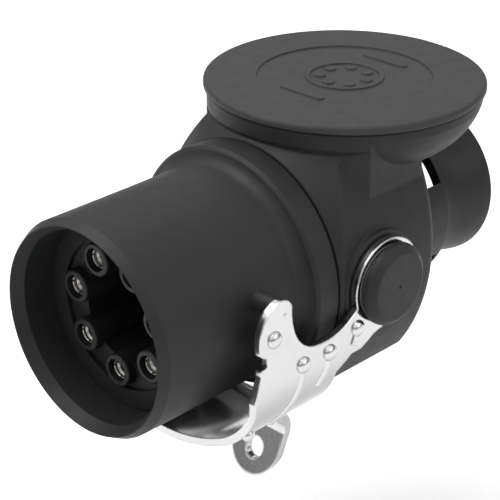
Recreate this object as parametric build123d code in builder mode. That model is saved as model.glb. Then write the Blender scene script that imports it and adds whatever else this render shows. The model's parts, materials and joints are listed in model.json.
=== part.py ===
# Seven-pole trailer brake connector (12 V plug with a locking bail).
# Millimetres. The main axis is Y: the mating face looks towards -Y, the cable leaves towards +Y.
# The origin lies on the main axis in the plane of the front rim, with +Z towards the cover.
from build123d import *
import math
import os

# ---- Front sleeve
sleeve_radius = 27.0
sleeve_wall = 3.1
sleeve_length = 43.2
sleeve_land = 28.4
sleeve_draft = 0.15
rim_inset = 1.35
rim_chamfer = 2.5
rim_bevel = 3.1
flare_length = 3.6
flare_rise = 3.1
collar_lip = 0.8
collar_length = 7.0
key_width = 10.0
key_recess_width = 18.0
key_recess_depth = 0.7
key_length = 24.0
lug_radius = 2.4
lug_z = 6.0

# ---- Contact carrier
pole_count = 7
pole_circle = 14.2
tube_radius = 4.2
tube_tip = 10.3
tube_rounding = 0.6
tube_mouth = 2.9
tube_mouth_depth = 2.2
carrier_face = 13.0
carrier_floor = 11.7
hollow_radius = 12.5
flange_inset = 1.0
flange_thickness = 3.0
seal_thickness = 1.2
retainer_thickness = 3.5
retainer_recess = 0.6
notch_width = 3.0
notch_depth = 1.2
contact_radius = 2.55
contact_bevel = 0.5
power_bore = 1.75
signal_bore = 1.25
socket_depth = 20.0
barrel_radius = 3.2
barrel_length = 9.0
barrel_floor = 1.5
wire_bore = 2.0
terminal_screw_radius = 1.2
terminal_screw_start = 0.8
terminal_screw_reach = 4.2
terminal_slot_width = 0.5
terminal_slot_depth = 0.8
power_poles = [0, 1]
signal_poles = [2, 3, 4, 5, 6]

# ---- Housing
gasket_thickness = 0.8
side_bulge = 0.3
top_margin = 1.1
bottom_margin = 0.1
top_half_width = 20.5
top_corner = 4.0
bottom_half_width = 21.0
bottom_corner = 6.0
barrel_depth = 36.4
plate_lean = 0.8
wall = 2.8
front_wall = 5.5
rear_wall = 3.0
rear_rounding = 3.0
flange_screw_radius = 1.25
flange_screw_head = 2.25
flange_screw_head_height = 1.8
flange_screw_grip = 4.8
flange_screw_inset = 2.1

# ---- Neck and cover
neck_radius = 34.95
neck_setback = 0.45
neck_wall = 3.65
neck_cheek = 27.4
neck_floor = 2.5
neck_bell_gap = 0.7
neck_foot_inset = 8.95
neck_bulge_inset = 2.95
neck_bulge_rise = 5.0
neck_shoulder_rise = 5.8
neck_band = 2.2
cover_seat_depth = 4.4
cover_gap = 0.3
cover_overhang = 0.85
cover_thickness = 2.2
cover_edge = 0.9
badge_radius = 22.3
badge_depth = 0.4
badge_ring_radius = 10.0
badge_line = 1.2
badge_dot_radius = 1.5
badge_dot_circle = 6.2
badge_bar_offset = 16.0
badge_bar_length = 14.0
badge_bar_width = 2.2
spigot_clearance = 0.3
spigot_wall = 3.0
cover_seal_wire = 0.8

# ---- Locking bail: reaches are measured from the pivot axis
pivot_setback = 13.9
trunnion_radius = 6.0
bail_ring_rim = 0.9
pivot_pad_rim = 1.2
bail_side_gap = 0.6
bail_floor_gap = 4.0
bail_sheet = 2.0
bail_belly = 45.0
bail_shoulder = -12.0
bail_front_reach = 44.7
bail_rear_reach = 17.0
bail_overlap = 5.0
lug_reach = 36.9
notch_top = -3.2
notch_bottom = -8.4
eye_back_reach = 6.5
eye_curl = 0.45
eye_drop = 22.2
eye_hole = 2.8
eye_radius = 8.1
eye_lip = 6.6
eye_root_half_width = 12.0
eye_bend = 5.0
dimple_radius = 2.3
dimple_height = 0.7
dimple_taper = 25
dimple_places = [(-39.9, -0.2), (-29.9, -10.8), (-20.7, -11.2), (-10.7, -8.6)]

# ---- Pivot hardware
pin_radius = 2.0
pin_length = 13.5
pin_depth = 11.0
pin_chamfer = 0.3
pivot_boss_depth = 5.0
pivot_gap = 0.2
washer_thickness = 0.5
washer_inset = 0.9
cap_radius = 10.5
cap_face_inset = 2.3
cap_height = 3.3
cap_band = 0.9

# ---- Cable end
spigot_radius = 20.0
spigot_thickness = 3.0
spigot_length = 9.2
cable_radius = 6.0
passage_room = 3.0
seal_length = 4.5
seal_washer_thickness = 1.3
gland_nut_length = 4.0
gland_nut_room = 1.5
hex_depth = 2.0
bell_collar_wall = 2.4
bell_collar_length = 15.6
bell_waist_inset = 1.4
bell_mouth_flare = 2.0
bell_length = 35.6
bell_wall = 2.1
bead_radius = 1.1
window_angle = 38.0
window_width = 8.6
window_front = 6.2
window_length = 8.3
latch_height = 2.0
latch_length = 2.3
clamp_length = 7.0
clamp_edge = 3.6
clamp_screw_room = 2.9
clamp_screw_radius = 1.5
clamp_screw_head = 2.75
clamp_screw_head_height = 1.8
clamp_screw_grip = 8.0
clamp_slot_width = 0.8
clamp_drop_wall = 7.0
clamp_rise_wall = 3.0
clamp_setback = 1.0

# ---- Clearances
close_fit = 0.05
running_fit = 0.1
free_gap = 0.3

# ---- Places along the main axis
flare_end = sleeve_length + flare_length
collar_end = flare_end + collar_length
retainer_back = collar_end - retainer_recess
carrier_back = retainer_back - retainer_thickness
flange_front = carrier_back - flange_thickness
hollow_floor = carrier_back - carrier_floor
contact_face = tube_tip + tube_mouth_depth
barrel_end = carrier_back + barrel_length
terminal_y = carrier_back + 0.6 * barrel_length
housing_front = collar_end + gasket_thickness
chamber_front = housing_front + front_wall
housing_rear = housing_front + barrel_depth
chamber_rear = housing_rear - rear_wall
pivot_y = housing_front + pivot_setback
neck_y = housing_front + neck_radius + neck_setback
cheek_front = neck_y - math.sqrt(neck_radius**2 - neck_cheek**2)
cheek_rear = housing_rear - rear_rounding
bell_front = housing_rear + free_gap
bell_rear = bell_front + bell_length
bell_collar_end = bell_front + bell_collar_length
clamp_y = chamber_rear - clamp_setback - clamp_length / 2

# ---- Radii and widths that follow their neighbours
bore_radius = sleeve_radius - sleeve_wall
rim_radius = sleeve_radius - rim_inset
flare_radius = sleeve_radius + flare_rise
collar_radius = flare_radius + collar_lip
flange_radius = sleeve_radius - flange_inset
flange_screw_circle = flange_radius + flange_screw_inset
wiring_opening = flange_screw_circle - flange_screw_head - 1.85
seal_bore = pole_circle + tube_radius + tube_rounding
retainer_bore = seal_bore + 0.5
side_half_width = collar_radius + side_bulge
top_height = collar_radius + top_margin
bottom_depth = collar_radius + bottom_margin
spigot_bore = spigot_radius - spigot_thickness
cable_passage = cable_radius + passage_room
gland_nut_bore = cable_radius + gland_nut_room
bell_bore = spigot_radius + running_fit
bell_collar_radius = bell_bore + bell_collar_wall
bell_waist_radius = spigot_radius - bell_waist_inset
bell_mouth_radius = spigot_radius + bell_mouth_flare
clamp_screw_offset = cable_radius + clamp_screw_room + clamp_screw_radius
clamp_half_width = clamp_screw_offset + clamp_edge
clamp_drop = cable_radius + clamp_drop_wall
clamp_rise = cable_radius + clamp_rise_wall
clamp_top = free_gap + clamp_rise

# ---- Neck and cover heights, worked up from the bell that the neck overhangs
neck_foot_radius = neck_radius - neck_foot_inset
neck_bulge_radius = neck_radius - neck_bulge_inset
neck_foot_z = bell_collar_radius + neck_bell_gap
neck_bulge_z = neck_foot_z + neck_bulge_rise
neck_shoulder_z = neck_bulge_z + neck_shoulder_rise
neck_top = neck_shoulder_z + neck_band
cover_bore = neck_radius - neck_wall
cover_radius = neck_radius + cover_overhang
cover_bottom = neck_top + cover_gap
cover_top = cover_bottom + cover_thickness
spigot_outer = cover_bore - spigot_clearance
spigot_inner = spigot_outer - spigot_wall
spigot_bottom = cover_bottom - cover_seat_depth + free_gap
cover_seal_circle = cover_bore - 1.1 * cover_seal_wire
cover_seal_z = cover_bottom - cover_seat_depth / 2

# ---- Bail section: a belly arc that runs tangent into a corner arc at each side
bail_ring_radius = cap_radius + bail_ring_rim
pivot_pad_radius = bail_ring_radius + pivot_pad_rim
bail_inner_half_width = side_half_width + bail_side_gap
bail_outer_half_width = bail_inner_half_width + bail_sheet
bail_depth = bottom_depth + bail_floor_gap
pad_half_width = bail_inner_half_width - free_gap
washer_inner = bail_outer_half_width + pivot_gap
washer_radius = cap_radius - washer_inset
cap_inner = washer_inner + washer_thickness
cap_face_radius = cap_radius - cap_face_inset
trunnion_half_width = cap_inner - close_fit
belly_centre = bail_belly - bail_depth
bail_corner = (
    bail_belly**2 - bail_inner_half_width**2 - (belly_centre - bail_shoulder) ** 2
) / (2 * (bail_belly - bail_inner_half_width))
bail_tangent_x = (bail_inner_half_width - bail_corner) * bail_belly / (bail_belly - bail_corner)
bail_tangent_z = belly_centre - math.sqrt(bail_belly**2 - bail_tangent_x**2)
eye_z = -(bail_depth + eye_drop)
eye_shoulder_z = eye_z + eye_radius / 2
eye_root_z = 1 - bail_depth


def across(y):
    """Plane square to the main axis at y, facing the cable end."""
    return Plane(origin=(0, y, 0), x_dir=(-1, 0, 0), z_dir=(0, 1, 0))


def neck_profile_plane():
    """Upright plane through the neck axis; its x is the radius and its y is the height."""
    return Plane(origin=(0, neck_y, 0), x_dir=(1, 0, 0), z_dir=(0, -1, 0))


def pivot_profile_plane():
    """Plane through the bail's pivot axis; its x runs along X and its y is the radius."""
    return Plane(origin=(0, pivot_y, 0), x_dir=(1, 0, 0), z_dir=(0, -1, 0))


def beside_pivot(x):
    """Upright plane along the plug at x, with its origin on the bail's pivot axis."""
    return Plane(origin=(x, pivot_y, 0), x_dir=(0, 1, 0), z_dir=(1, 0, 0))


def export(piece, name):
    piece.part.label = name
    export_step(piece.part, f"parts/{name}.step")


neck_axis = Axis((0, neck_y, 0), (0, 0, 1))
pivot_axis = Axis((0, pivot_y, 0), (1, 0, 0))
pole_step = 360 / pole_count
first_pole = -90
window_angles = [window_angle, 180 - window_angle, 180 + window_angle, 360 - window_angle]
os.makedirs("parts", exist_ok=True)

# ---- Front sleeve: tube, flare and collar turned in one, with the lugs and the key on its outside
with BuildPart() as front_sleeve:
    # guide lugs that the bail's hooks close over
    with BuildSketch(beside_pivot(0)):
        with Locations((-lug_reach, lug_z)):
            Circle(lug_radius)
    extrude(amount=pad_half_width, both=True)
    with BuildSketch(Plane.YZ):
        with BuildLine():
            Polyline(
                (collar_end, flange_radius + running_fit),
                (flange_front, flange_radius + running_fit),
                (flange_front, bore_radius),
                (rim_bevel, bore_radius),
                (0, rim_radius),
                (rim_chamfer, sleeve_radius),
                (sleeve_land, sleeve_radius),
                (sleeve_length, sleeve_radius + sleeve_draft),
            )
            flare = TangentArc(
                (sleeve_length, sleeve_radius + sleeve_draft),
                (flare_end, flare_radius),
                tangent=(1, 0),
            )
            Polyline(
                flare @ 1,
                (flare_end + collar_lip, collar_radius),
                (collar_end, collar_radius),
                (collar_end, flange_radius + running_fit),
            )
        make_face()
    revolve(axis=Axis.Y)
    with BuildSketch(across(rim_bevel)):
        Circle(bore_radius)
    extrude(amount=flange_front - rim_bevel, mode=Mode.SUBTRACT)
    # polarising key: a shallow recess on the -X side with a rib left standing in it
    with BuildSketch(across(0)):
        with Locations((sleeve_radius, 0)):
            Rectangle(2 * key_recess_depth, key_recess_width)
            Rectangle(2 * key_recess_depth, key_width, mode=Mode.SUBTRACT)
    extrude(amount=key_length, mode=Mode.SUBTRACT)
    with Locations(across(collar_end)):
        with PolarLocations(flange_screw_circle, 4, start_angle=45):
            Hole(flange_screw_radius, depth=flange_screw_grip)
export(front_sleeve, "front_sleeve")

# ---- Contact carrier: seven tubes round a deep hollow, held in the sleeve by a rear flange
with BuildPart() as contact_carrier:
    with BuildSketch(across(carrier_face)):
        Circle(bore_radius - close_fit)
    extrude(amount=carrier_back - carrier_face)
    with BuildSketch(across(flange_front)):
        Circle(flange_radius)
    extrude(amount=flange_thickness)
    with BuildSketch(across(carrier_face)):
        Circle(hollow_radius)
    extrude(amount=hollow_floor - carrier_face, mode=Mode.SUBTRACT)
    with BuildSketch(across(tube_tip)):
        with PolarLocations(pole_circle, pole_count, start_angle=first_pole):
            Circle(tube_radius)
    extrude(amount=carrier_back - tube_tip)
    tips = contact_carrier.faces().group_by(Axis.Y)[0].edges()
    fillet(tips, tube_rounding)
    with Locations(across(tube_tip).rotated((180, 0, 0))):
        with PolarLocations(pole_circle, pole_count, start_angle=-first_pole):
            CounterBoreHole(
                radius=contact_radius + close_fit,
                counter_bore_radius=tube_mouth,
                counter_bore_depth=tube_mouth_depth,
            )
export(contact_carrier, "contact_carrier")

# ---- Flat rubber ring on the carrier face that seals against the mating socket
with BuildPart() as mating_seal:
    with BuildSketch(across(carrier_face - seal_thickness)):
        Circle(bore_radius - running_fit)
        Circle(seal_bore, mode=Mode.SUBTRACT)
    extrude(amount=seal_thickness)
export(mating_seal, "mating_seal")

# ---- Threaded ring behind the carrier flange, with four spanner notches
with BuildPart() as carrier_retainer:
    with BuildSketch(across(carrier_back)):
        Circle(flange_radius)
        Circle(retainer_bore, mode=Mode.SUBTRACT)
        with PolarLocations(retainer_bore, 4, start_angle=45, rotate=True):
            Rectangle(2 * notch_depth, notch_width, mode=Mode.SUBTRACT)
    extrude(amount=retainer_thickness)
export(carrier_retainer, "carrier_retainer")


# ---- Socket contacts: each is drawn on its own axis with x outwards, then set on its pole
def turned_contact(bore):
    """One turned contact with a socket at the front and a wire barrel with a screw hole behind."""
    with BuildPart() as contact:
        with BuildSketch(Plane.XZ):
            Polygon(
                (bore + contact_bevel, contact_face),
                (contact_radius, contact_face),
                (contact_radius, carrier_back + close_fit),
                (barrel_radius, carrier_back + close_fit),
                (barrel_radius, barrel_end),
                (wire_bore, barrel_end),
                (wire_bore, carrier_back + barrel_floor),
                (0, carrier_back + barrel_floor),
                (0, contact_face + socket_depth),
                (bore, contact_face + socket_depth),
                (bore, contact_face + contact_bevel),
                align=None,
            )
        revolve(axis=Axis.Z)
        with BuildSketch(Plane.YZ):
            with Locations((0, terminal_y)):
                Circle(terminal_screw_radius + close_fit)
        extrude(amount=barrel_radius + 1, mode=Mode.SUBTRACT)
    return contact.part


def on_poles(piece, poles):
    """Copies of a piece drawn on its own axis, one at each of the given poles."""
    with BuildPart() as group:
        with Locations(across(0)):
            for pole in poles:
                with PolarLocations(pole_circle, 1, start_angle=first_pole + pole * pole_step):
                    add(piece)
    return group


power_contacts = on_poles(turned_contact(power_bore), power_poles)
export(power_contacts, "power_contacts")
signal_contacts = on_poles(turned_contact(signal_bore), signal_poles)
export(signal_contacts, "signal_contacts")

# ---- Terminal screws, one through the outer side of each wire barrel
with BuildPart() as one_terminal_screw:
    with BuildSketch(Plane.YZ.offset(terminal_screw_start)):
        with Locations((0, terminal_y)):
            Circle(terminal_screw_radius)
    extrude(amount=terminal_screw_reach)
    with BuildSketch(Plane.YZ.offset(terminal_screw_start + terminal_screw_reach)):
        with Locations((0, terminal_y)):
            Rectangle(terminal_slot_width, 3 * terminal_screw_radius)
    extrude(amount=-terminal_slot_depth, mode=Mode.SUBTRACT)
terminal_screws = on_poles(one_terminal_screw.part, range(pole_count))
export(terminal_screws, "terminal_screws")

# ---- Gasket between the sleeve's collar and the housing
with BuildPart() as sleeve_gasket:
    with BuildSketch(across(collar_end)):
        Circle(flare_radius)
        Circle(flange_radius + free_gap, mode=Mode.SUBTRACT)
        with PolarLocations(flange_screw_circle, 4, start_angle=45):
            Circle(flange_screw_radius + running_fit, mode=Mode.SUBTRACT)
    extrude(amount=gasket_thickness)
export(sleeve_gasket, "sleeve_gasket")

# ---- Flange screws that hold the sleeve, driven from inside the housing
with BuildPart() as sleeve_screws:
    with BuildSketch(across(collar_end - flange_screw_grip + free_gap)):
        with PolarLocations(flange_screw_circle, 4, start_angle=45):
            Circle(flange_screw_radius - close_fit)
    extrude(amount=chamber_front - collar_end + flange_screw_grip - free_gap)
    with BuildSketch(across(chamber_front)):
        with PolarLocations(flange_screw_circle, 4, start_angle=45):
            Circle(flange_screw_head)
            RegularPolygon(0.5 * flange_screw_head, 6, mode=Mode.SUBTRACT)
    extrude(amount=flange_screw_head_height)
export(sleeve_screws, "sleeve_screws")


def barrel_outline(inset):
    """Section of the housing barrel, inset evenly: flat top and bottom, bulging sides, rounded corners."""
    with BuildSketch() as outline:
        with BuildLine():
            Line((top_half_width, top_height), (-top_half_width, top_height))
            ThreePointArc(
                (-top_half_width, top_height),
                (-side_half_width, 0),
                (-bottom_half_width, -bottom_depth),
            )
            Line((-bottom_half_width, -bottom_depth), (bottom_half_width, -bottom_depth))
            ThreePointArc(
                (bottom_half_width, -bottom_depth),
                (side_half_width, 0),
                (top_half_width, top_height),
            )
        make_face()
        fillet(outline.vertices().group_by(Axis.Y)[-1], top_corner)
        fillet(outline.vertices().group_by(Axis.Y)[0], bottom_corner)
        if inset:
            offset(amount=-inset, mode=Mode.REPLACE)
    return outline.sketch


# ---- Plan of the neck's straight part: the drum's front wall, and flat cheeks behind it
with BuildSketch() as apron_plan:
    with Locations((0, neck_y)):
        Circle(neck_radius)
    with Locations((0, cheek_front)):
        Rectangle(2 * neck_radius, 2 * neck_radius, align=(Align.CENTER, Align.MIN), mode=Mode.SUBTRACT)
    with Locations((0, cheek_front)):
        Rectangle(2 * neck_cheek, cheek_rear - cheek_front, align=(Align.CENTER, Align.MIN))

# ---- Main housing: barrel, front plate, neck, pivot trunnions, cable spigot and wiring chamber
with BuildPart() as main_housing:
    with BuildSketch(across(housing_front)):
        add(barrel_outline(0))
    extrude(amount=barrel_depth)
    rear_edges = main_housing.faces().sort_by(Axis.Y)[-1].edges()
    fillet(rear_edges, rear_rounding)
    with BuildSketch(Plane.XY):
        add(apron_plan.sketch)
    extrude(amount=top_height)
    # the front plate's corners lean back from the collar
    with BuildSketch(Plane.YZ):
        Polygon(
            (housing_front, 0),
            (housing_front, collar_radius),
            (housing_front + barrel_depth, collar_radius + barrel_depth * plate_lean),
            (housing_front + barrel_depth, 0),
            align=None,
        )
    revolve(axis=Axis.Y, mode=Mode.INTERSECT)
    with BuildSketch(Plane.XY.offset(top_height)):
        add(apron_plan.sketch)
    extrude(amount=neck_top - top_height)
    # neck: a round drum that narrows down to the barrel
    with BuildSketch(neck_profile_plane()):
        with BuildLine():
            Polyline((0, neck_top), (0, neck_foot_z), (neck_foot_radius, neck_foot_z))
            ThreePointArc(
                (neck_foot_radius, neck_foot_z),
                (neck_bulge_radius, neck_bulge_z),
                (neck_radius, neck_shoulder_z),
            )
            Polyline((neck_radius, neck_shoulder_z), (neck_radius, neck_top), (0, neck_top))
        make_face()
    revolve(axis=neck_axis)
    # pads and trunnions that carry the bail
    with BuildSketch(beside_pivot(0)):
        Circle(pivot_pad_radius)
    extrude(amount=pad_half_width, both=True)
    with BuildSketch(beside_pivot(0)):
        Circle(trunnion_radius)
    extrude(amount=trunnion_half_width, both=True)
    # cable spigot with four latches
    with BuildSketch(across(chamber_rear)):
        Circle(spigot_radius)
    extrude(amount=rear_wall + spigot_length)
    with BuildSketch(across(bell_front + window_front + free_gap)):
        for angle in window_angles:
            with PolarLocations(spigot_radius, 1, start_angle=angle):
                Rectangle(2 * latch_height, window_width - 2 * free_gap)
    extrude(amount=latch_length)
    # hollow inside: wiring chamber, neck, front opening and cable passage
    with BuildSketch(across(chamber_front)):
        add(barrel_outline(wall))
    extrude(amount=chamber_rear - chamber_front, mode=Mode.SUBTRACT)
    with BuildSketch(neck_profile_plane()):
        Polygon(
            (0, neck_foot_z + neck_floor),
            (neck_foot_radius - 0.5 * wall, neck_foot_z + neck_floor),
            (neck_bulge_radius - wall, neck_bulge_z + 0.4 * wall),
            (cover_bore, neck_top - cover_seat_depth),
            (cover_bore, neck_top),
            (0, neck_top),
            align=None,
        )
    revolve(axis=neck_axis, mode=Mode.SUBTRACT)
    with BuildSketch(across(housing_front)):
        Circle(wiring_opening)
    extrude(amount=front_wall, mode=Mode.SUBTRACT)
    with BuildSketch(across(housing_front)):
        with PolarLocations(flange_screw_circle, 4, start_angle=45):
            Circle(flange_screw_radius + running_fit)
    extrude(amount=front_wall, mode=Mode.SUBTRACT)
    with BuildSketch(across(chamber_rear)):
        Circle(cable_passage)
    extrude(amount=rear_wall, mode=Mode.SUBTRACT)
    with BuildSketch(across(housing_rear)):
        Circle(spigot_bore)
    extrude(amount=spigot_length, mode=Mode.SUBTRACT)
    # saddle for the cable inside the chamber, and the inner bosses of the pivots
    with BuildSketch(across(chamber_rear - clamp_length - 2 * clamp_setback)):
        with Locations((0, -free_gap)):
            Rectangle(2 * clamp_half_width, clamp_drop, align=(Align.CENTER, Align.MAX))
        Circle(cable_radius + free_gap, mode=Mode.SUBTRACT)
    extrude(amount=clamp_length + 2 * clamp_setback)
    for side in (1, -1):
        with BuildSketch(beside_pivot(side * (side_half_width - wall - pivot_boss_depth))):
            Circle(trunnion_radius)
        extrude(amount=side * (pivot_boss_depth + wall / 2))
    for side in (1, -1):
        with BuildSketch(beside_pivot(side * (trunnion_half_width - pin_depth))):
            Circle(pin_radius + close_fit)
        extrude(amount=side * (pin_depth + 1), mode=Mode.SUBTRACT)
    with Locations(Plane.XY.offset(-free_gap)):
        with Locations((clamp_screw_offset, clamp_y), (-clamp_screw_offset, clamp_y)):
            Hole(clamp_screw_radius, depth=clamp_screw_grip)
export(main_housing, "main_housing")

# ---- Locking bail: one pressed sheet, its two hooked sides joined by a cross piece under the sleeve
with BuildSketch() as bail_space:
    with BuildLine():
        belly = ThreePointArc(
            (-bail_tangent_x, bail_tangent_z),
            (0, -bail_depth),
            (bail_tangent_x, bail_tangent_z),
        )
        corner = TangentArc(belly @ 1, (bail_inner_half_width, bail_shoulder), tangent=belly % 1)
        Polyline(corner @ 1, (bail_inner_half_width, bail_depth), (-bail_inner_half_width, bail_depth),
                 (-bail_inner_half_width, bail_shoulder))
        mirror(corner, about=Plane.YZ)
    make_face()
with BuildPart() as release_eye:
    with BuildSketch(beside_pivot(0)):
        with BuildLine():
            FilletPolyline(
                (-bail_rear_reach - bail_overlap, -bail_depth - bail_sheet / 2),
                (-bail_rear_reach + bail_overlap / 2, -bail_depth - bail_sheet / 2),
                (-eye_back_reach, eye_z + eye_radius),
                (-eye_back_reach - 2 * eye_radius * eye_curl, eye_z - eye_radius),
                radius=eye_bend,
            )
        trace(line_width=bail_sheet)
    extrude(amount=eye_root_half_width, both=True)
    with BuildSketch(Plane.XZ):
        with BuildLine():
            Line((eye_root_half_width, eye_root_z), (-eye_root_half_width, eye_root_z))
            left = Spline(
                (-eye_root_half_width, eye_root_z),
                (-eye_radius, eye_shoulder_z),
                tangents=[(0.3, -1), (0, -1)],
            )
            Line(left @ 1, (-eye_radius, eye_z))
            ThreePointArc((-eye_radius, eye_z), (0, eye_z - eye_lip), (eye_radius, eye_z))
            Line((eye_radius, eye_z), (eye_radius, eye_shoulder_z))
            Spline(
                (eye_radius, eye_shoulder_z),
                (eye_root_half_width, eye_root_z),
                tangents=[(0, 1), (0.3, 1)],
            )
        make_face()
        with Locations((0, eye_z)):
            Circle(eye_hole, mode=Mode.SUBTRACT)
    extrude(amount=-(pivot_y + bail_depth), mode=Mode.INTERSECT)
with BuildPart() as locking_lever:
    with BuildSketch(across(pivot_y + bail_ring_radius)):
        offset(bail_space.sketch, amount=bail_sheet)
        add(bail_space.sketch, mode=Mode.SUBTRACT)
    extrude(amount=-(bail_ring_radius + bail_front_reach + bail_overlap))
    # side view: hook, mouth, arm and ring above, cross piece below, with a notch in the front edge
    with BuildSketch(beside_pivot(0)):
        with BuildLine():
            mouth = Spline(
                (-34.1, 6.4),
                (-33.7, 1.4),
                (-31.9, -3.2),
                (-28.0, -6.6),
                (-23.5, -7.6),
                (-18.5, -7.3),
                (-14.3, -5.9),
                (-9.9, -2.6),
            )
            Polyline(
                mouth @ 1,
                (0, 0),
                (0, -bail_ring_radius),
                (-4.5, -12.4),
                (-8.9, -14.9),
                (-12.5, -15.0),
                (-bail_rear_reach, -18.5),
                (-bail_rear_reach, -bail_depth - bail_overlap),
                (-bail_front_reach, -bail_depth - bail_overlap),
                (-bail_front_reach, -20.0),
                (-45.9, -15.5),
                (-44.1, notch_bottom),
                (-44.1, notch_bottom + 1.4),
                (-42.1, notch_bottom + 1.8),
                (-42.1, notch_top - 1.2),
                (-44.1, notch_top),
            )
            back = Spline((-44.1, notch_top), (-44.6, 1.0), (-43.1, 5.2), (-39.9, 8.1))
            ThreePointArc(back @ 1, (-35.9, 8.5), (-34.1, 6.4))
        make_face()
        Circle(bail_ring_radius)
    extrude(amount=bail_outer_half_width + 1, both=True, mode=Mode.INTERSECT)
    with BuildSketch(beside_pivot(0)):
        Circle(trunnion_radius + running_fit)
    extrude(amount=bail_outer_half_width + 1, both=True, mode=Mode.SUBTRACT)
    add(release_eye.part)
    # round embossed dimples on the outside of each side
    for side in (1, -1):
        with BuildSketch(beside_pivot(side * (bail_inner_half_width + bail_sheet / 2))):
            with Locations(*dimple_places):
                Circle(dimple_radius)
        extrude(amount=side * (bail_sheet / 2 + dimple_height), taper=dimple_taper)
export(locking_lever, "locking_lever")

# ---- Top cover: disc with a spigot that plugs into the neck
with BuildPart() as top_cover:
    with BuildSketch(neck_profile_plane()):
        Polygon(
            (0, cover_bottom),
            (spigot_inner, cover_bottom),
            (spigot_inner, spigot_bottom),
            (spigot_outer, spigot_bottom),
            (spigot_outer, cover_bottom),
            (cover_radius - cover_edge / 2, cover_bottom),
            (cover_radius, cover_bottom + cover_edge / 2),
            (cover_radius, cover_top),
            (badge_radius, cover_top),
            (badge_radius, cover_top - badge_depth),
            (0, cover_top - badge_depth),
            align=None,
        )
    revolve(axis=neck_axis)
    rim = top_cover.edges().filter_by(GeomType.CIRCLE).group_by(Axis.Z)[-1].sort_by(SortBy.RADIUS)[-1]
    fillet(rim, cover_edge)
    with BuildSketch(neck_profile_plane()):
        with Locations((cover_seal_circle, cover_seal_z)):
            Rectangle(2 * cover_seal_wire + running_fit, 2 * cover_seal_wire + running_fit)
        with Locations((cover_bore, cover_seal_z)):
            Rectangle(2 * cover_seal_wire, 2 * cover_seal_wire + running_fit)
    revolve(axis=neck_axis, mode=Mode.SUBTRACT)
    # raised badge: a plain picture of the pin layout
    with BuildSketch(Plane.XY.offset(cover_top - badge_depth)):
        with Locations((0, neck_y)):
            Circle(badge_ring_radius)
            Circle(badge_ring_radius - badge_line, mode=Mode.SUBTRACT)
            with PolarLocations(badge_dot_circle, pole_count, start_angle=first_pole):
                Circle(badge_dot_radius)
        with Locations((0, neck_y + badge_bar_offset), (0, neck_y - badge_bar_offset)):
            SlotOverall(badge_bar_length, badge_bar_width)
    extrude(amount=badge_depth)
export(top_cover, "top_cover")

# ---- O-ring of the cover
with BuildPart() as cover_seal:
    with BuildSketch(neck_profile_plane()):
        with Locations((cover_seal_circle, cover_seal_z)):
            Circle(cover_seal_wire)
    revolve(axis=neck_axis)
export(cover_seal, "cover_seal")

# ---- Pivot hardware: pin, spring washer and cap on each side
for side, side_name in ((1, "right"), (-1, "left")):
    with BuildPart() as pivot_pin:
        with BuildSketch(beside_pivot(side * (trunnion_half_width - pin_depth + running_fit))):
            Circle(pin_radius)
        extrude(amount=side * pin_length)
        chamfer(pivot_pin.edges(), pin_chamfer)
    export(pivot_pin, f"pivot_pin_{side_name}")
    with BuildPart() as friction_washer:
        with BuildSketch(beside_pivot(side * washer_inner)):
            Circle(washer_radius)
            Circle(trunnion_radius + free_gap, mode=Mode.SUBTRACT)
        extrude(amount=side * washer_thickness)
    export(friction_washer, f"friction_washer_{side_name}")
    with BuildPart() as pivot_cap:
        with BuildSketch(pivot_profile_plane()):
            with BuildLine():
                edge = Polyline(
                    (side * cap_inner, 0),
                    (side * cap_inner, cap_radius - 0.3),
                    (side * (cap_inner + 0.3), cap_radius),
                    (side * (cap_inner + cap_band), cap_radius),
                )
                crown = Spline(
                    edge @ 1,
                    (side * (cap_inner + cap_height - 0.5), cap_radius - 1.3),
                    (side * (cap_inner + cap_height), cap_face_radius),
                    tangents=[(side, 0), (0, -1)],
                )
                Polyline(
                    crown @ 1,
                    (side * (cap_inner + cap_height), 0.5),
                    (side * (cap_inner + cap_height - 0.3), 0.4),
                    (side * (cap_inner + cap_height - 0.3), 0),
                    (side * cap_inner, 0),
                )
            make_face()
        revolve(axis=pivot_axis)
        with BuildSketch(beside_pivot(side * cap_inner)):
            Circle(pin_radius + close_fit)
        extrude(amount=side * (pin_length - pin_depth + free_gap), mode=Mode.SUBTRACT)
    export(pivot_cap, f"pivot_cap_{side_name}")

# ---- Cable bell: collar with four latch windows, waist and flared mouth with a bead
with BuildPart() as cable_bell:
    with BuildSketch(Plane.YZ):
        with BuildLine():
            outer_collar = Polyline(
                (bell_front, bell_bore),
                (bell_front, bell_collar_radius),
                (bell_collar_end, bell_collar_radius),
                (bell_collar_end, bell_waist_radius + 1.2),
            )
            outer_flare = Spline(
                outer_collar @ 1,
                (bell_collar_end + 4, bell_waist_radius),
                (bell_collar_end + 11, bell_waist_radius + 0.9),
                (bell_rear - bead_radius, bell_mouth_radius - 0.5),
            )
            mouth = ThreePointArc(
                outer_flare @ 1,
                (bell_rear, bell_mouth_radius - 1),
                (bell_rear - bead_radius, bell_mouth_radius - bell_wall),
            )
            inner_flare = Spline(
                mouth @ 1,
                (bell_collar_end + 11, bell_waist_radius + 0.9 - bell_wall),
                (bell_collar_end + 4, bell_waist_radius - bell_wall),
            )
            Polyline(
                inner_flare @ 1,
                (bell_collar_end - bell_wall, bell_bore),
                (bell_front, bell_bore),
            )
        make_face()
    revolve(axis=Axis.Y)
    with BuildSketch(across(bell_front + window_front)):
        for angle in window_angles:
            with PolarLocations(bell_collar_radius, 1, start_angle=angle):
                Rectangle(4 * bell_collar_wall, window_width)
    extrude(amount=window_length, mode=Mode.SUBTRACT)
export(cable_bell, "cable_bell")

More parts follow.
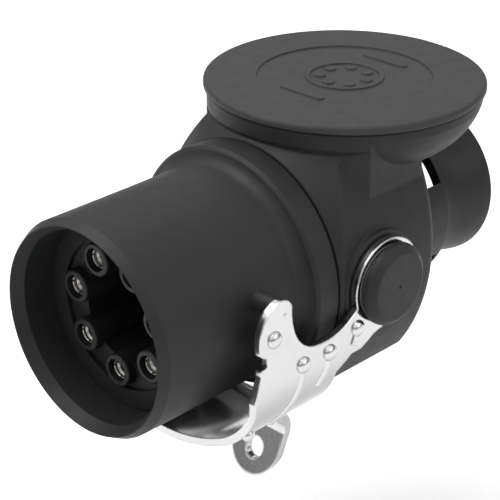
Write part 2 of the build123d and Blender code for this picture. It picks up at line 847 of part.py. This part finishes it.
# ---- Cable gland inside the spigot: rubber seal, washer and nut
with BuildPart() as cable_seal:
    with BuildSketch(across(housing_rear)):
        Circle(spigot_bore - close_fit)
        Circle(cable_radius, mode=Mode.SUBTRACT)
    extrude(amount=seal_length)
export(cable_seal, "cable_seal")
with BuildPart() as seal_washer:
    with BuildSketch(across(housing_rear + seal_length)):
        Circle(spigot_bore - close_fit)
        Circle(gland_nut_bore, mode=Mode.SUBTRACT)
    extrude(amount=seal_washer_thickness)
export(seal_washer, "seal_washer")
with BuildPart() as gland_nut:
    with BuildSketch(across(housing_rear + seal_length + seal_washer_thickness)):
        Circle(spigot_bore - close_fit)
        Circle(gland_nut_bore, mode=Mode.SUBTRACT)
    extrude(amount=gland_nut_length)
    with BuildSketch(across(housing_rear + seal_length + seal_washer_thickness + gland_nut_length)):
        RegularPolygon((gland_nut_bore + spigot_bore) / 2, 6)
    extrude(amount=-hex_depth, mode=Mode.SUBTRACT)
export(gland_nut, "gland_nut")

# ---- Strain relief: a strap screwed down over the cable inside the chamber
with BuildPart() as cable_clamp:
    with BuildSketch(across(clamp_y - clamp_length / 2)):
        with Locations((0, free_gap)):
            Rectangle(2 * clamp_half_width, clamp_rise, align=(Align.CENTER, Align.MIN))
        Circle(cable_radius + free_gap, mode=Mode.SUBTRACT)
    extrude(amount=clamp_length)
    fillet(cable_clamp.edges().filter_by(Axis.Y).group_by(Axis.Z)[-1], 2)
    with Locations(Plane.XY.offset(clamp_top)):
        with Locations((clamp_screw_offset, clamp_y), (-clamp_screw_offset, clamp_y)):
            Hole(clamp_screw_radius + close_fit)
export(cable_clamp, "cable_clamp")
with BuildPart() as clamp_screws:
    with BuildSketch(Plane.XY.offset(clamp_top)):
        with Locations((clamp_screw_offset, clamp_y), (-clamp_screw_offset, clamp_y)):
            Circle(clamp_screw_head)
    extrude(amount=clamp_screw_head_height)
    with BuildSketch(Plane.XY.offset(clamp_top)):
        with Locations((clamp_screw_offset, clamp_y), (-clamp_screw_offset, clamp_y)):
            Circle(clamp_screw_radius - close_fit)
    extrude(amount=-(clamp_rise + clamp_screw_grip))
    with BuildSketch(Plane.XY.offset(clamp_top + clamp_screw_head_height)):
        with Locations((clamp_screw_offset, clamp_y), (-clamp_screw_offset, clamp_y)):
            Rectangle(clamp_slot_width, 3 * clamp_screw_head)
            Rectangle(3 * clamp_screw_head, clamp_slot_width)
    extrude(amount=-clamp_slot_width, mode=Mode.SUBTRACT)
export(clamp_screws, "clamp_screws")
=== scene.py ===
"""Looks of a seven-pole trailer brake plug: moulded plastics, plated contacts and a bright bail."""

import json
import math

import bpy
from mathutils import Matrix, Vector


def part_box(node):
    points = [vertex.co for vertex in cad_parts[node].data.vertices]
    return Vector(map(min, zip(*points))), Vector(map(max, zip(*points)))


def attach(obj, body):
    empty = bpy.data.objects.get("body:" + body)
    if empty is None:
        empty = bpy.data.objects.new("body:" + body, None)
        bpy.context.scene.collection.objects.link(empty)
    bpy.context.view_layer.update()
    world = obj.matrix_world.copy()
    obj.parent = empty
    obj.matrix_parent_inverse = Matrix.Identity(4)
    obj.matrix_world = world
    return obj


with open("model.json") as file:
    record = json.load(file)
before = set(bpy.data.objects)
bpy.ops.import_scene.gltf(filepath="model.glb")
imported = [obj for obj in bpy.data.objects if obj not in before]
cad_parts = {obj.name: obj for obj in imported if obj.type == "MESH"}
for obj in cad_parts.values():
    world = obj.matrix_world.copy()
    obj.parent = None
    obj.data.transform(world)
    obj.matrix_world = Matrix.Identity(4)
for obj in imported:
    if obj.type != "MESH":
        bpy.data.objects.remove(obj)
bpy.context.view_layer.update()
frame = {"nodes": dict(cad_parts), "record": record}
MM = 0.001


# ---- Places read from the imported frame, in metres
bail_low, bail_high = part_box("locking_lever")
cap_low, cap_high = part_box("pivot_cap_right")
contact_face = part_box("power_contacts")[0].y
pivot_y = (cap_low.y + cap_high.y) / 2
dimple_rise = 0.7 * MM
bail_face = bail_high.x - dimple_rise

# ---- Sizes of the pressed bail, the contacts and the set, in metres
pole_circle = 14.2 * MM
pole_count = 7
bail_shoulder = -12 * MM  # height below which the cheek curves inwards
bail_corner = 22.07 * MM  # outer radius of that curve
rib_radius = 1.5 * MM
rib_sunk = 1.05 * MM
rib_steps = 24
finger_radius = 2.35 * MM
finger_wall = 0.35 * MM
finger_length = 0.8 * MM
finger_sweep = 80  # degrees
finger_count = 4
floor_drop = 25 * MM  # how far the floor lies below the bail


# ---- Sizes of the surface patterns, in cycles per metre
cloud_scale = 45
patch_scale = 210
scuff_scale = 900
streak_scale = 1400
stain_scale = 95
wave_scale = 60
fibre_scale = 300


# ---- Shader building
def shader_tree(name):
    """A new material with its Principled shader and object coordinates."""
    material = bpy.data.materials.new(name)
    material.use_nodes = True
    nodes = material.node_tree.nodes
    shader = nodes["Principled BSDF"]
    coordinates = nodes.new("ShaderNodeTexCoord")
    return material, nodes, material.node_tree.links, shader, coordinates.outputs["Object"]


def noise(nodes, links, place, scale, detail=4.0, rough=0.55):
    texture = nodes.new("ShaderNodeTexNoise")
    texture.inputs["Scale"].default_value = scale
    texture.inputs["Detail"].default_value = detail
    texture.inputs["Roughness"].default_value = rough
    links.new(place, texture.inputs["Vector"])
    return texture.outputs["Fac"]


def stretched(nodes, links, place, scale, turn=(0, 0, 0)):
    """The same coordinates scaled and turned, which draws a pattern out along one direction."""
    mapping = nodes.new("ShaderNodeMapping")
    mapping.inputs["Scale"].default_value = scale
    mapping.inputs["Rotation"].default_value = turn
    links.new(place, mapping.inputs["Vector"])
    return mapping.outputs["Vector"]


def spread(nodes, links, value, low, high, start=0.3, end=0.7):
    """Maps a noise value between start and end onto low..high."""
    span = nodes.new("ShaderNodeMapRange")
    span.inputs["From Min"].default_value = start
    span.inputs["From Max"].default_value = end
    span.inputs["To Min"].default_value = low
    span.inputs["To Max"].default_value = high
    links.new(value, span.inputs["Value"])
    return span.outputs["Result"]


def blended(nodes, links, factor, first, second):
    """Mixes two colours, each a colour or a socket."""
    mix = nodes.new("ShaderNodeMix")
    mix.data_type = "RGBA"
    links.new(factor, mix.inputs["Factor"])
    for socket, colour in ((mix.inputs[6], first), (mix.inputs[7], second)):
        if isinstance(colour, bpy.types.NodeSocket):
            links.new(colour, socket)
        else:
            socket.default_value = (*colour, 1)
    return mix.outputs[2]


def times(nodes, links, first, second):
    product = nodes.new("ShaderNodeMath")
    product.operation = "MULTIPLY"
    product.use_clamp = True
    links.new(first, product.inputs[0])
    links.new(second, product.inputs[1])
    return product.outputs[0]


def rounded(nodes, links, radius):
    """Edge rounding as a normal, and a mask that is 1 on the edges."""
    bevel = nodes.new("ShaderNodeBevel")
    bevel.samples = 6
    bevel.inputs["Radius"].default_value = radius
    surface = nodes.new("ShaderNodeNewGeometry")
    dot = nodes.new("ShaderNodeVectorMath")
    dot.operation = "DOT_PRODUCT"
    links.new(bevel.outputs["Normal"], dot.inputs[0])
    links.new(surface.outputs["Normal"], dot.inputs[1])
    mask = spread(nodes, links, dot.outputs["Value"], 1.0, 0.0, 0.80, 0.995)
    return bevel.outputs["Normal"], mask


def bumped(nodes, links, shader, normal, *layers):
    """Stacks bump layers, each (height, depth in metres), on a normal."""
    for height, depth in layers:
        bump = nodes.new("ShaderNodeBump")
        bump.inputs["Distance"].default_value = depth
        bump.inputs["Strength"].default_value = 1.0
        links.new(height, bump.inputs["Height"])
        links.new(normal, bump.inputs["Normal"])
        normal = bump.outputs["Normal"]
    links.new(normal, shader.inputs["Normal"])


def moulded(name, colour, roughness, grain, grain_depth, edge=0.5, scuffs=0.35, specular=0.24):
    """Moulded plastic or rubber: spark texture, cloudy gloss, faint scuffs and a painted highlight on the
    rounded edges, in patches.
    """
    material, nodes, links, shader, place = shader_tree(name)
    shader.inputs["Specular IOR Level"].default_value = specular
    normal, edges = rounded(nodes, links, edge * MM)
    clouds = noise(nodes, links, place, cloud_scale, 3)
    fine = noise(nodes, links, place, grain, 2, 0.7)
    patches = noise(nodes, links, place, patch_scale, 5, 0.65)
    dark = tuple(0.93 * c for c in colour)
    pale = tuple(1.09 * c for c in colour)
    edge_highlight = tuple(2.3 * c + 0.01 for c in colour)
    body = blended(nodes, links, spread(nodes, links, clouds, 0.0, 1.0), dark, pale)
    # painted highlight: the rounded edges are made paler, in patches
    edge_highlight_mask = times(nodes, links, edges, spread(nodes, links, patches, 0.0, 0.6))
    body = blended(nodes, links, edge_highlight_mask, body, edge_highlight)
    # long thin scuffs: noise stretched along the plug
    along = stretched(nodes, links, place, (1.0, 0.08, 1.0), (0.15, 0.1, 0.25))
    scratch = noise(nodes, links, along, scuff_scale, 2, 0.4)
    scuffed = spread(nodes, links, scratch, 0.0, scuffs, 0.66, 0.74)
    body = blended(nodes, links, scuffed, body, pale)
    links.new(body, shader.inputs["Base Color"])
    gloss = spread(nodes, links, patches, roughness - 0.06, roughness + 0.07)
    links.new(gloss, shader.inputs["Roughness"])
    bumped(nodes, links, shader, normal, (fine, grain_depth * MM), (clouds, 0.02 * MM))
    return material


def metal(name, colour, roughness, direction, edge=0.3, streaks=0.08, waviness=0.02, tarnish=0.25):
    """Bare or plated metal: streaks along one direction, soft waviness, stains and a painted highlight on
    the edges, in patches.
    """
    material, nodes, links, shader, place = shader_tree(name)
    shader.inputs["Metallic"].default_value = 1.0
    normal, edges = rounded(nodes, links, edge * MM)
    grain = noise(nodes, links, stretched(nodes, links, place, direction), streak_scale, 3, 0.6)
    stains = noise(nodes, links, place, stain_scale, 6, 0.6)
    waves = noise(nodes, links, place, wave_scale, 2, 0.4)
    dull = tuple(0.72 * c for c in colour)
    bright = tuple(min(1.0, 1.08 * c) for c in colour)
    body = blended(nodes, links, spread(nodes, links, stains, 0.0, tarnish, 0.5, 0.75), colour, dull)
    # painted highlight: the rounded edges are made brighter, in patches that follow the stain noise
    body = blended(nodes, links, times(nodes, links, edges, stains), body, bright)
    links.new(body, shader.inputs["Base Color"])
    gloss = spread(nodes, links, grain, roughness - streaks / 2, roughness + streaks)
    links.new(gloss, shader.inputs["Roughness"])
    bumped(nodes, links, shader, normal, (grain, 0.003 * MM), (waves, waviness * MM))
    return material


finishes = {
    "sleeve_black": moulded("sleeve_black", (0.0125, 0.013, 0.0137), 0.52, 2600, 0.010, edge=0.5),
    "housing_black": moulded("housing_black", (0.0115, 0.012, 0.0127), 0.52, 2400, 0.012, edge=1.1),
    "cover_grey": moulded("cover_grey", (0.0255, 0.026, 0.027), 0.55, 2400, 0.012, edge=0.5),
    "bell_black": moulded("bell_black", (0.0090, 0.0093, 0.0098), 0.46, 2600, 0.009, edge=0.6),
    "carrier_black": moulded("carrier_black", (0.009, 0.0092, 0.0096), 0.42, 3000, 0.006, edge=0.35),
    "gland_black": moulded("gland_black", (0.030, 0.030, 0.031), 0.45, 2800, 0.008, edge=0.4),
    "seal_rubber": moulded("seal_rubber", (0.008, 0.008, 0.0085), 0.72, 1900, 0.016, edge=0.3, specular=0.2),
    "contact_metal": metal("contact_metal", (0.34, 0.33, 0.31), 0.30, (1, 0.1, 1), edge=0.15),
    "screw_steel": metal("screw_steel", (0.66, 0.65, 0.61), 0.30, (1, 1, 0.2), edge=0.2),
    "bail_steel": metal("bail_steel", (0.57, 0.57, 0.575), 0.12, (1, 0.05, 1), edge=0.7, streaks=0.05),
    "washer_steel": metal("washer_steel", (0.50, 0.49, 0.47), 0.34, (0.2, 1, 1), edge=0.1),
}


def dress_frame():
    """Gives every CAD node the finish of its material slot."""
    for part in frame["record"]["subparts"]:
        mesh = frame["nodes"][part["node"]].data
        mesh.materials.clear()
        mesh.materials.append(finishes[part["material_slot"]])


dress_frame()


# ---- Geometry Nodes building
class Tree:
    """A Geometry Nodes tree with named size inputs, turned into a plain mesh by make()."""

    def __init__(self, name):
        self.group = bpy.data.node_groups.new(name, "GeometryNodeTree")
        self.group.interface.new_socket("Geometry", in_out="INPUT", socket_type="NodeSocketGeometry")
        self.group.interface.new_socket("Geometry", in_out="OUTPUT", socket_type="NodeSocketGeometry")
        self.values = {}
        self.inputs = None

    def size(self, name, value, kind="NodeSocketFloat"):
        socket = self.group.interface.new_socket(name, in_out="INPUT", socket_type=kind)
        self.values[socket.identifier] = value

    def start(self):
        self.inputs = self.group.nodes.new("NodeGroupInput")
        return self.inputs.outputs

    def add(self, kind, settings=None, **inputs):
        made = self.group.nodes.new(kind)
        for key, value in (settings or {}).items():
            setattr(made, key, value)
        for key, value in inputs.items():
            self.put(made.inputs[key.replace("_", " ")], value)
        return made

    def put(self, socket, value):
        if isinstance(value, bpy.types.NodeSocket):
            self.group.links.new(value, socket)
        else:
            socket.default_value = value

    def make(self, name, geometry, body, slot, base=None):
        """Realises the tree on a base mesh as a plain piece in the slot's finish, riding on its body."""
        placed = self.add("GeometryNodeRealizeInstances", Geometry=geometry)
        painted = self.add("GeometryNodeSetMaterial", Geometry=placed.outputs[0], Material=finishes[slot])
        end = self.group.nodes.new("NodeGroupOutput")
        self.group.links.new(painted.outputs[0], end.inputs[0])
        carrier = bpy.data.objects.new(name, base or bpy.data.meshes.new(name))
        bpy.context.scene.collection.objects.link(carrier)
        modifier = carrier.modifiers.new("shape", "NODES")
        modifier.node_group = self.group
        for identifier, value in self.values.items():
            modifier[identifier] = value
        seen = carrier.evaluated_get(bpy.context.evaluated_depsgraph_get())
        plain = bpy.data.meshes.new_from_object(seen)
        carrier.modifiers.remove(modifier)
        carrier.data = plain
        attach(carrier, body)


def contact_springs():
    """Four spring fingers inside each socket, on the circle of poles."""
    tree = Tree("contact_springs")
    tree.size("Pole circle", pole_circle)
    tree.size("Poles", pole_count, "NodeSocketInt")
    tree.size("Finger radius", finger_radius)
    tree.size("Finger wall", finger_wall)
    tree.size("Finger length", finger_length)
    sizes = tree.start()
    arc = tree.add(
        "GeometryNodeCurveArc",
        Resolution=9,
        Radius=sizes["Finger radius"],
        Sweep_Angle=math.radians(finger_sweep),
    )
    section = tree.add(
        "GeometryNodeCurvePrimitiveQuadrilateral", Width=sizes["Finger wall"], Height=sizes["Finger length"]
    )
    finger = tree.add(
        "GeometryNodeCurveToMesh", Curve=arc.outputs[0], Profile_Curve=section.outputs[0], Fill_Caps=True
    )
    # the fingers stand on one spot, each turned a quarter further than the last
    four = tree.add("GeometryNodeMeshCircle", Vertices=finger_count, Radius=0.0001 * MM)
    turn = tree.add("ShaderNodeMath", {"operation": "MULTIPLY"})
    tree.put(turn.inputs[0], tree.add("GeometryNodeInputIndex").outputs[0])
    tree.put(turn.inputs[1], 2 * math.pi / finger_count)
    spin = tree.add("ShaderNodeCombineXYZ", Z=turn.outputs[0])
    socket = tree.add(
        "GeometryNodeInstanceOnPoints",
        Points=four.outputs[0],
        Instance=finger.outputs[0],
        Rotation=spin.outputs[0],
    )
    poles = tree.add("GeometryNodeMeshCircle", Vertices=sizes["Poles"], Radius=sizes["Pole circle"])
    ring = tree.add("GeometryNodeInstanceOnPoints", Points=poles.outputs[0], Instance=socket.outputs[0])
    upright = tree.add(
        "GeometryNodeTransform",
        Geometry=ring.outputs[0],
        Translation=(0, contact_face - finger_length / 2, 0),
        Rotation=(math.radians(90), math.radians(90), 0),
    )
    tree.make("contact_springs", upright.outputs[0], "plug_body", "contact_metal")


def point_mesh(name, points, edges=()):
    mesh = bpy.data.meshes.new(name)
    mesh.from_pydata(points, list(edges), [])
    return mesh


def on_bail(side, y, z):
    """The point of the bail's outer surface at y from the pivot and height z."""
    inset = 0.0
    if z < bail_shoulder:
        inset = bail_corner - math.sqrt(bail_corner**2 - (z - bail_shoulder) ** 2)
    return (side * (bail_face - inset), pivot_y + y, z)


def pressed_domes(label, side, places, radius, height):
    """Round pressed domes on one side of the bail."""
    tree = Tree(label)
    tree.size("Dome radius", radius)
    tree.size("Dome height", height)
    sizes = tree.start()
    ball = tree.add("GeometryNodeMeshUVSphere", Segments=32, Rings=16, Radius=1.0)
    size = tree.add(
        "ShaderNodeCombineXYZ", X=sizes["Dome height"], Y=sizes["Dome radius"], Z=sizes["Dome radius"]
    )
    dome = tree.add("GeometryNodeTransform", Geometry=ball.outputs[0], Scale=size.outputs[0])
    placed = tree.add("GeometryNodeInstanceOnPoints", Points=sizes["Geometry"], Instance=dome.outputs[0])
    smooth = tree.add("GeometryNodeSetShadeSmooth", Geometry=placed.outputs[0])
    points = point_mesh("dome_places", [on_bail(side, y * MM, z * MM) for y, z in places])
    tree.make(f"{label}_{side_names[side]}", smooth.outputs[0], "lever", "bail_steel", points)


def pressed_ribs(side, ribs):
    """Tapered ribs pressed into one cheek of the bail, each following the sheet down from its dimple."""
    tree = Tree("pressed_ribs")
    tree.size("Rib radius", rib_radius)
    sizes = tree.start()
    line = tree.add("GeometryNodeMeshToCurve", Mesh=sizes["Geometry"])
    taper = tree.add("ShaderNodeFloatCurve")
    tree.put(taper.inputs["Value"], tree.add("GeometryNodeSplineParameter").outputs["Factor"])
    curve = taper.mapping.curves[0]
    curve.points[0].location = (0, 1)
    curve.points[1].location = (1, 0.05)
    curve.points.new(0.7, 0.8)
    taper.mapping.update()
    radius = tree.add("GeometryNodeSetCurveRadius", Curve=line.outputs[0], Radius=taper.outputs[0])
    section = tree.add("GeometryNodeCurvePrimitiveCircle", Resolution=20, Radius=sizes["Rib radius"])
    swept = tree.add(
        "GeometryNodeCurveToMesh", Curve=radius.outputs[0], Profile_Curve=section.outputs[0], Fill_Caps=True
    )
    smooth = tree.add("GeometryNodeSetShadeSmooth", Geometry=swept.outputs[0])
    points = []
    edges = []
    for (top_y, top_z), (end_y, end_z), bend in ribs:
        first = len(points)
        for step in range(rib_steps + 1):
            t = step / rib_steps
            y = (top_y + (end_y - top_y) * t - bend * math.sin(math.pi * t)) * MM
            x, place_y, z = on_bail(side, y, (top_z + (end_z - top_z) * t) * MM)
            # the line runs inside the sheet, so that only the rib's crown stands out
            points.append((x - side * rib_sunk * (1 - 0.25 * t), place_y, z + 0.5 * rib_sunk * t))
        edges += [(first + k, first + k + 1) for k in range(rib_steps)]
    lines = point_mesh("rib_lines", points, edges)
    tree.make(f"pressed_ribs_{side_names[side]}", smooth.outputs[0], "lever", "bail_steel", lines)


side_names = {1: "right", -1: "left"}

# places on a cheek of the bail, each y from the pivot and height z, in millimetres
dimples = [(-39.9, -0.2), (-29.9, -10.8), (-20.7, -11.2), (-10.7, -8.6)]
corner_places = [(-42.8, -26.5)]
punches = [(-36.4, 5.0)]
# each rib's top and end, and how far it bows rearwards
cheek_ribs = [
    ((-29.9, -11.5), (-34.5, -27.0), -1.2),
    ((-20.7, -12.0), (-23.5, -20.0), -0.5),
    ((-10.9, -9.0), (-12.2, -13.2), 0),
]
contact_springs()
for cheek in (1, -1):
    pressed_domes("dimple_domes", cheek, dimples, radius=2.15 * MM, height=1.35 * MM)
    pressed_domes("corner_domes", cheek, corner_places, radius=1.7 * MM, height=1.3 * MM)
    pressed_domes("punch_marks", cheek, punches, radius=0.45 * MM, height=0.3 * MM)
    pressed_ribs(cheek, cheek_ribs)


# ---- Floor, light and camera
def paper(name, colour):
    """Seamless studio paper, barely mottled by a fibre noise."""
    material, nodes, links, shader, place = shader_tree(name)
    fibre = noise(nodes, links, place, fibre_scale, 4)
    darker = tuple(0.985 * c for c in colour)
    tone = blended(nodes, links, spread(nodes, links, fibre, 0.0, 1.0), colour, darker)
    links.new(tone, shader.inputs["Base Color"])
    shader.inputs["Roughness"].default_value = 0.9
    shader.inputs["Specular IOR Level"].default_value = 0.1
    return material


def studio_floor():
    size = 6.0
    level = bail_low.z - floor_drop
    mesh = bpy.data.meshes.new("studio_floor")
    corners = [(-size, -size, level), (size, -size, level), (size, size, level), (-size, size, level)]
    mesh.from_pydata(corners, [], [(0, 1, 2, 3)])
    mesh.materials.append(paper("studio_paper", (0.93, 0.93, 0.93)))
    floor = bpy.data.objects.new("studio_floor", mesh)
    bpy.context.scene.collection.objects.link(floor)


def soft_box(name, place, target, width, height, power):
    light = bpy.data.lights.new(name, "AREA")
    light.shape = "RECTANGLE"
    light.size = width
    light.size_y = height
    light.energy = power
    lamp = bpy.data.objects.new(name, light)
    lamp.location = place
    lamp.rotation_euler = (Vector(target) - Vector(place)).to_track_quat("-Z", "Y").to_euler()
    bpy.context.scene.collection.objects.link(lamp)


def studio_light():
    """A world that darkens downwards, seen as plain white behind the plug, and three soft boxes."""
    world = bpy.data.worlds.new("studio")
    world.use_nodes = True
    nodes = world.node_tree.nodes
    links = world.node_tree.links
    sky = nodes["Background"]
    direction = nodes.new("ShaderNodeTexCoord")
    split = nodes.new("ShaderNodeSeparateXYZ")
    ramp = nodes.new("ShaderNodeValToRGB")
    below, above = ramp.color_ramp.elements
    below.position = 0.0
    below.color = (0.06, 0.06, 0.062, 1)
    above.position = 0.55
    above.color = (1, 1, 1, 1)
    links.new(direction.outputs["Generated"], split.inputs[0])
    links.new(split.outputs["Z"], ramp.inputs["Fac"])
    links.new(ramp.outputs["Color"], sky.inputs["Color"])
    sky.inputs["Strength"].default_value = 1.2
    backdrop = nodes.new("ShaderNodeBackground")
    backdrop.inputs["Color"].default_value = (1, 1, 1, 1)
    ray = nodes.new("ShaderNodeLightPath")
    chosen = nodes.new("ShaderNodeMixShader")
    links.new(ray.outputs["Is Camera Ray"], chosen.inputs[0])
    links.new(sky.outputs[0], chosen.inputs[1])
    links.new(backdrop.outputs[0], chosen.inputs[2])
    links.new(chosen.outputs[0], nodes["World Output"].inputs["Surface"])
    bpy.context.scene.world = world
    bpy.context.scene.view_settings.view_transform = "Standard"
    middle = (0, 0.06, 0)
    soft_box("key_box", (-0.25, -0.15, 0.75), middle, width=0.6, height=0.6, power=5.0)
    soft_box("side_box", (0.75, 0.25, 0.35), middle, width=0.5, height=0.5, power=1.2)
    soft_box("front_box", (-0.2, -0.7, 0.15), middle, width=0.5, height=0.4, power=0.4)


def camera():
    lens = bpy.data.cameras.new("camera")
    lens.lens = 122.13
    lens.sensor_width = 36
    lens.clip_start = 0.01
    eye = bpy.data.objects.new("camera", lens)
    eye.location = (0.263404, -0.217238, 0.187039)
    eye.rotation_euler = (math.radians(63.941), 0, math.radians(43.992))
    bpy.context.scene.collection.objects.link(eye)
    bpy.context.scene.camera = eye


studio_floor()
studio_light()
camera()
